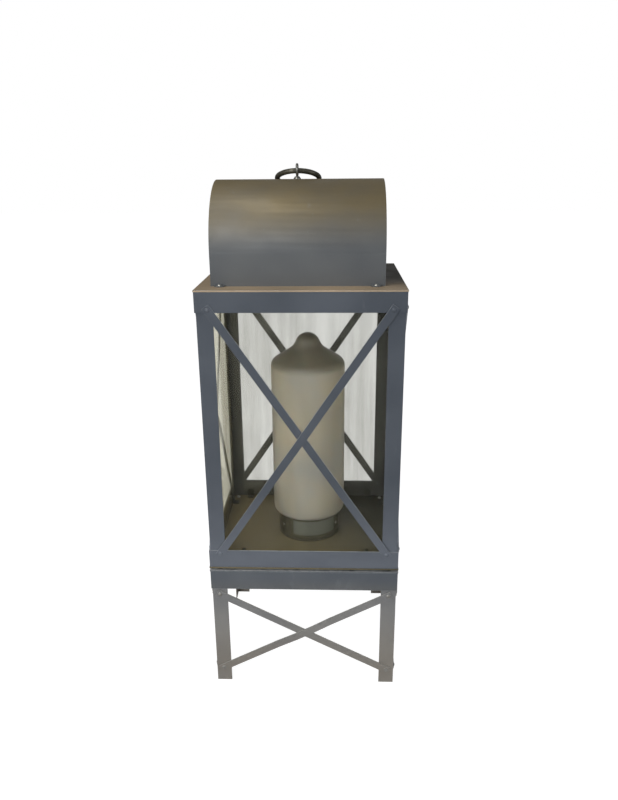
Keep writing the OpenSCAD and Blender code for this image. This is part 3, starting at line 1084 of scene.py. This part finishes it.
@dataclass
class CandleLamp:
    """The opal lamp on its cup, with what it holds inside.

    Attributes:
        shade: Finish of the shade.
        cup: Finish of the cup.
        label: Finish of the bare label.
    """

    shade: OpalFinish = OPAL
    cup: MetalFinish = CUP_METAL
    label: MouldedFinish = LABEL_FILM

    def dress(self) -> list[str]:
        """Gives the lamp its finishes.

        Returns:
            Names of the nodes it dressed.
        """
        return SHOP.coat_all(
            {
                "lamp_base": self.cup,
                "grub_screws": PLATED_STEEL,
                "label_plate": self.label,
                "opal_shade": self.shade,
                "fixing_tube": BRASS,
                "tube_nut": BRASS,
                "inlet_bush": BLACK_PLASTIC,
                "lampholder": BLACK_PLASTIC,
                "bulb_cap": PLATED_STEEL,
                "bulb_envelope": FROSTED_BULB,
            }
        )


@dataclass(frozen=True)
class SoftLight:
    """A soft square light that faces the object.

    Attributes:
        name: Name of the light.
        place: Its place in metres.
        side: Length of its side in metres.
        power: Power in watts.
        colour: Colour of the light.
        aim: Point that it faces, in metres.
    """

    name: str
    place: tuple[float, float, float]
    side: float
    power: float
    colour: Colour
    aim: tuple[float, float, float] = (0.0, 0.0, 0.35)

    def add(self) -> None:
        """Adds the light to the scene."""
        data = bpy.data.lights.new(self.name, "AREA")
        data.shape = "SQUARE"
        data.size = self.side
        data.energy = self.power
        data.color = self.colour
        light = bpy.data.objects.new(self.name, data)
        bpy.context.scene.collection.objects.link(light)
        light.location = self.place
        way = Vector(self.aim) - Vector(self.place)
        light.rotation_euler = way.to_track_quat("-Z", "Y").to_euler()


LIGHTS = (
    SoftLight("front_light", (-1.1, -1.9, 1.35), side=1.4, power=26.0, colour=(1.0, 0.99, 0.97)),
    SoftLight("side_light", (2.0, -0.9, 0.9), side=1.2, power=8.0, colour=(0.97, 0.98, 1.0)),
    SoftLight("rear_light", (0.3, 2.2, 1.6), side=1.6, power=1.5, colour=WHITE),
    SoftLight("ceiling_light", (-0.6, -0.5, 2.3), side=0.6, power=9.0, colour=(1.0, 0.95, 0.84)),
)


@dataclass
class Studio:
    """Floor, light and camera.

    Attributes:
        photo: Width and height of the picture in pixels.
        focal: Focal length in those pixels.
        place: The camera's place in metres.
        yaw: Turn to the left in degrees.
        pitch: Tilt downwards in degrees.
        roll: Turn about the line of sight in degrees.
        sensor: Width of the sensor along the picture's long side, in millimetres.
        clip: Nearest and farthest distance that the camera sees, in metres.
        room: Colour of the room's light.
        dim_way: Direction towards the dim side of the room.
        dim_span: Where along it the room starts to dim and is dimmest.
        dim_range: Strength of the room's light at those two places.
        floor_half: Half the floor's side in metres.
        floor_grey: Colour of the floor.
        floor_glow: Strength of the floor's own white, seen by the camera straight or through glass.
        floor_share: Share of that white.
    """

    photo: tuple[int, int] = (618, 800)
    focal: float = 701.21
    place: tuple[float, float, float] = (0.039152, -0.91181, 0.69492)
    yaw: float = 2.136
    pitch: float = 18.978
    roll: float = -0.51
    sensor: float = 36.0
    clip: tuple[float, float] = (0.01, 50.0)
    room: Colour = (0.92, 0.94, 0.97)
    dim_way: Direction = (0.25, 1.0, 0.0)
    dim_span: tuple[float, float] = (-0.6, 0.4)
    dim_range: tuple[float, float] = (0.5, 0.1)
    floor_half: float = 9.0
    floor_grey: Colour = (0.82, 0.82, 0.82)
    floor_glow: float = 1.36
    floor_share: float = 0.7

    def set_camera(self) -> None:
        """Puts the camera where the photograph was taken."""
        data = bpy.data.cameras.new("camera")
        data.sensor_fit = "AUTO"
        data.sensor_width = self.sensor
        data.lens = self.focal * self.sensor / max(self.photo)
        data.clip_start, data.clip_end = self.clip
        camera = bpy.data.objects.new("camera", data)
        bpy.context.scene.collection.objects.link(camera)
        yaw, pitch, roll = (math.radians(angle) for angle in (self.yaw, self.pitch, self.roll))
        ahead = Vector(
            (-math.sin(yaw) * math.cos(pitch), math.cos(yaw) * math.cos(pitch), -math.sin(pitch))
        )
        level = Vector((math.cos(yaw), math.sin(yaw), 0.0))
        upright = level.cross(ahead)
        right = level * math.cos(roll) + upright * math.sin(roll)
        up = upright * math.cos(roll) - level * math.sin(roll)
        turn = Matrix((right, up, -ahead)).transposed()
        camera.matrix_world = Matrix.LocRotScale(Vector(self.place), turn.to_quaternion(), None)
        bpy.context.scene.camera = camera

    def set_light(self) -> None:
        """Adds the soft lights and a room that is dimmer behind the object and white to the camera."""
        for light in LIGHTS:
            light.add()
        world = bpy.data.worlds.new("world")
        bpy.context.scene.world = world
        tree = Tree(world, "ShaderNodeOutputWorld")
        room = tree.node("ShaderNodeBackground", Color=self.room)
        depth = tree.along(self.dim_way, tree.view)
        tree.link(tree.ramp(depth, *self.dim_span, *self.dim_range), room.inputs["Strength"])
        page = tree.node("ShaderNodeBackground", Color=WHITE, Strength=1.0)
        tree.close(tree.blended(tree.seen_directly(), room, page))

    def lay_floor(self) -> None:
        """Lays the pale floor, which stays white to the camera and keeps the shadow."""
        shape = bmesh.new()
        bmesh.ops.create_grid(shape, x_segments=2, y_segments=2, size=self.floor_half)
        mesh = bpy.data.meshes.new("floor")
        shape.to_mesh(mesh)
        shape.free()
        floor = bpy.data.objects.new("floor", mesh)
        bpy.context.scene.collection.objects.link(floor)
        tree = Tree.of_material("pale_floor")
        paper = tree.node("ShaderNodeBsdfDiffuse", Color=self.floor_grey)
        page = tree.node("ShaderNodeEmission", Color=WHITE, Strength=self.floor_glow)
        share = tree.ramp(tree.seen_directly(), 0.0, 1.0, 0.0, self.floor_share)
        tree.close(tree.blended(share, paper, page))
        floor.data.materials.append(tree.owner)

    def build(self) -> None:
        """Sets camera, light, floor and the plain view."""
        self.set_camera()
        self.set_light()
        self.lay_floor()
        bpy.context.scene.view_settings.view_transform = "Standard"


def main() -> None:
    """Builds the studio and every sub-assembly in order, and reports each piece."""
    logging.basicConfig(level=logging.INFO, format="%(name)s: %(message)s")
    Studio().build()
    body = LanternBody()
    steps = {
        "stand": Stand().dress,
        "body frame": body.dress_frame,
        "body fixings": body.dress_small,
        "glazing": body.glaze,
        "roof": Roof().dress,
        "handle": Handle().dress,
        "candle lamp": CandleLamp().dress,
    }
    dressed: list[str] = []
    for title, step in steps.items():
        names = step()
        dressed += names
        LOG.info("%s: %s", title, ", ".join(names))
    left = sorted(set(frame["nodes"]) - set(dressed))
    if left:
        raise ValueError(f"nodes without a finish: {left}")


if __name__ == "__main__":
    main()
